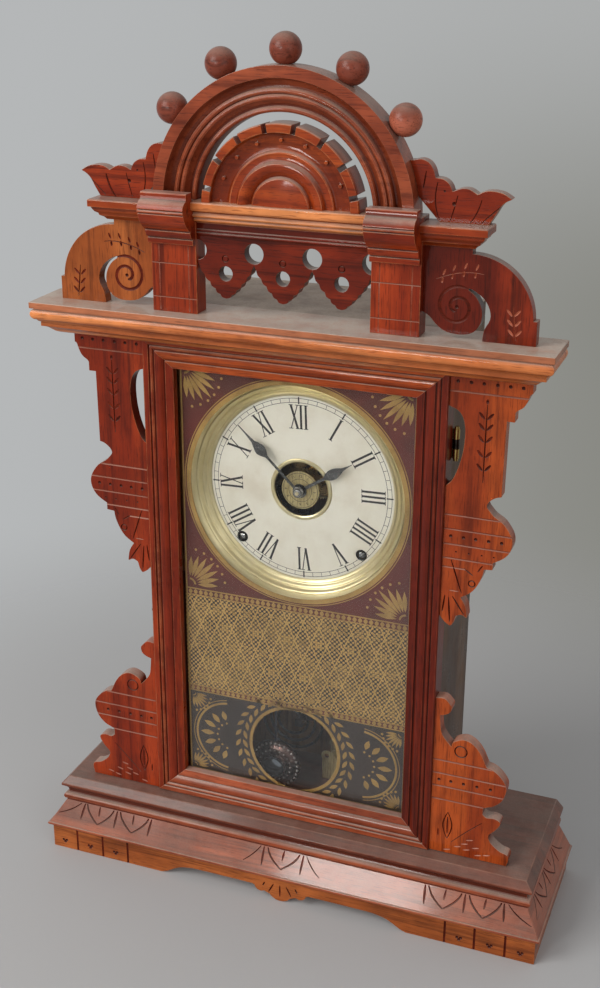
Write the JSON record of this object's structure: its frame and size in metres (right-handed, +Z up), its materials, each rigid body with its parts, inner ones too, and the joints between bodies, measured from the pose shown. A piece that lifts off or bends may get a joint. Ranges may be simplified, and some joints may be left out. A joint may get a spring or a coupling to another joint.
{
  "type": "shelf clock",
  "caption": "Walnut shelf clock with a glazed hinged door, pierced bracketed sides, moulded cornice and an arched, balled pediment; hands, pendulum, hammer and winding wheels move",
  "frame": {"origin": "centre of the object's footprint box, on the floor it stands on", "axes": "+Z up, -Y is the dial side, +X to the right of a person facing the dial"},
  "size_m": [0.386, 0.1292, 0.6122],
  "materials": {
    "walnut": "varnished walnut",
    "dark_walnut": "dark stained wood",
    "poplar": "bare secondary wood",
    "glass": "clear glass, gilt decoration inside",
    "iron": "dark iron",
    "brass": "aged brass",
    "blued_steel": "blued steel",
    "steel": "plain steel",
    "zinc": "dull sheet metal",
    "paper": "printed paper"
  },
  "bodies": {
    "case": {"apron_front": "walnut", "apron_left": "walnut", "apron_right": "walnut", "base_moulding_front": "walnut", "base_moulding_left": "walnut", "base_moulding_right": "walnut", "base_top": "walnut", "case_side_left": "dark_walnut", "case_side_right": "dark_walnut", "case_back": "poplar", "case_top": "dark_walnut", "cornice_rail": "dark_walnut", "cornice_moulding": "walnut", "cornice_board": "walnut", "column_left": "walnut", "column_right": "walnut", "column_cap_left": "walnut", "column_cap_right": "walnut", "centre_rail": "walnut", "frieze": "walnut", "scroll_wing_left": "walnut", "scroll_wing_right": "walnut", "end_shelf_left": "walnut", "end_shelf_right": "walnut", "leaf_crest_left": "walnut", "leaf_crest_right": "walnut", "arch": "walnut", "rosette": "walnut", "arch_balls": "walnut", "case_hardware": "brass", "dial_blocks": "poplar", "dial_pan": "zinc", "dial_paper": "paper", "bezel": "brass", "movement_frame": "brass", "gong": "steel", "alarm_frame": "brass"},
    "door": {"door_stile_left": "walnut", "door_stile_right": "walnut", "door_rail_top": "walnut", "door_rail_bottom": "walnut", "door_glass": "glass", "upper_bracket_left": "walnut", "upper_bracket_right": "walnut", "lower_bracket_left": "walnut", "lower_bracket_right": "walnut", "door_hardware": "iron"},
    "latch": {"latch_hook": "brass"},
    "minute": {"centre_arbor": "brass", "minute_hand": "blued_steel"},
    "hour": {"hour_wheel": "brass", "hour_hand": "blued_steel"},
    "motion": {"minute_wheel": "brass"},
    "alarm": {"alarm_disc": "brass"},
    "time_wheel": {"time_great_wheel": "brass"},
    "strike_wheel": {"strike_great_wheel": "brass"},
    "pendulum": {"pendulum_rod": "steel", "pendulum_bob": "brass"},
    "crutch": {"crutch": "steel"},
    "hammer": {"strike_hammer": "steel"}
  },
  "joints": [
    {"name": "door_hinge", "type": "hinge", "parent": "case", "child": "door", "pos_m": [0.1083, -0.01705, 0.2363], "axis": [0, 0, 1], "range_deg": [0, 95]},
    {"name": "latch_pivot", "type": "hinge", "parent": "case", "child": "latch", "pos_m": [-0.107, -0.0014, 0.2092], "axis": [-1, 0, 0], "range_deg": [0, 90]},
    {"name": "minute_arbor", "type": "hinge", "parent": "case", "child": "minute", "pos_m": [0, 0.0146, 0.313], "axis": [0, 1, 0], "continuous": true},
    {"name": "hour_pipe", "type": "hinge", "parent": "case", "child": "hour", "pos_m": [0, -0.0034, 0.313], "axis": [0, 1, 0], "continuous": true},
    {"name": "motion_wheel", "type": "hinge", "parent": "case", "child": "motion", "pos_m": [0.00848, 0.0066, 0.32149], "axis": [0, 1, 0], "continuous": true},
    {"name": "alarm_setting", "type": "hinge", "parent": "case", "child": "alarm", "pos_m": [0, -0.0119, 0.313], "axis": [0, 1, 0], "continuous": true},
    {"name": "time_winding", "type": "hinge", "parent": "case", "child": "time_wheel", "pos_m": [0.044, 0.0246, 0.271], "axis": [0, 1, 0], "continuous": true},
    {"name": "strike_winding", "type": "hinge", "parent": "case", "child": "strike_wheel", "pos_m": [-0.044, 0.0246, 0.271], "axis": [0, 1, 0], "continuous": true},
    {"name": "pendulum_swing", "type": "hinge", "parent": "case", "child": "pendulum", "pos_m": [-0.023, -0.0004, 0.338], "axis": [0, 1, 0], "range_deg": [-5, 5]},
    {"name": "crutch_swing", "type": "hinge", "parent": "case", "child": "crutch", "pos_m": [-0.023, 0.0076, 0.338], "axis": [0, 1, 0], "range_deg": [-5, 5]},
    {"name": "hammer_swing", "type": "hinge", "parent": "case", "child": "hammer", "pos_m": [0, 0.0346, 0.254], "axis": [0, 1, 0], "range_deg": [0, 6]}
  ],
  "couplings": [
    {"joint": "hour_pipe", "follows": "minute_arbor", "ratio": 0.083333},
    {"joint": "motion_wheel", "follows": "minute_arbor", "ratio": -0.33333},
    {"joint": "crutch_swing", "follows": "pendulum_swing", "ratio": 1}
  ]
}
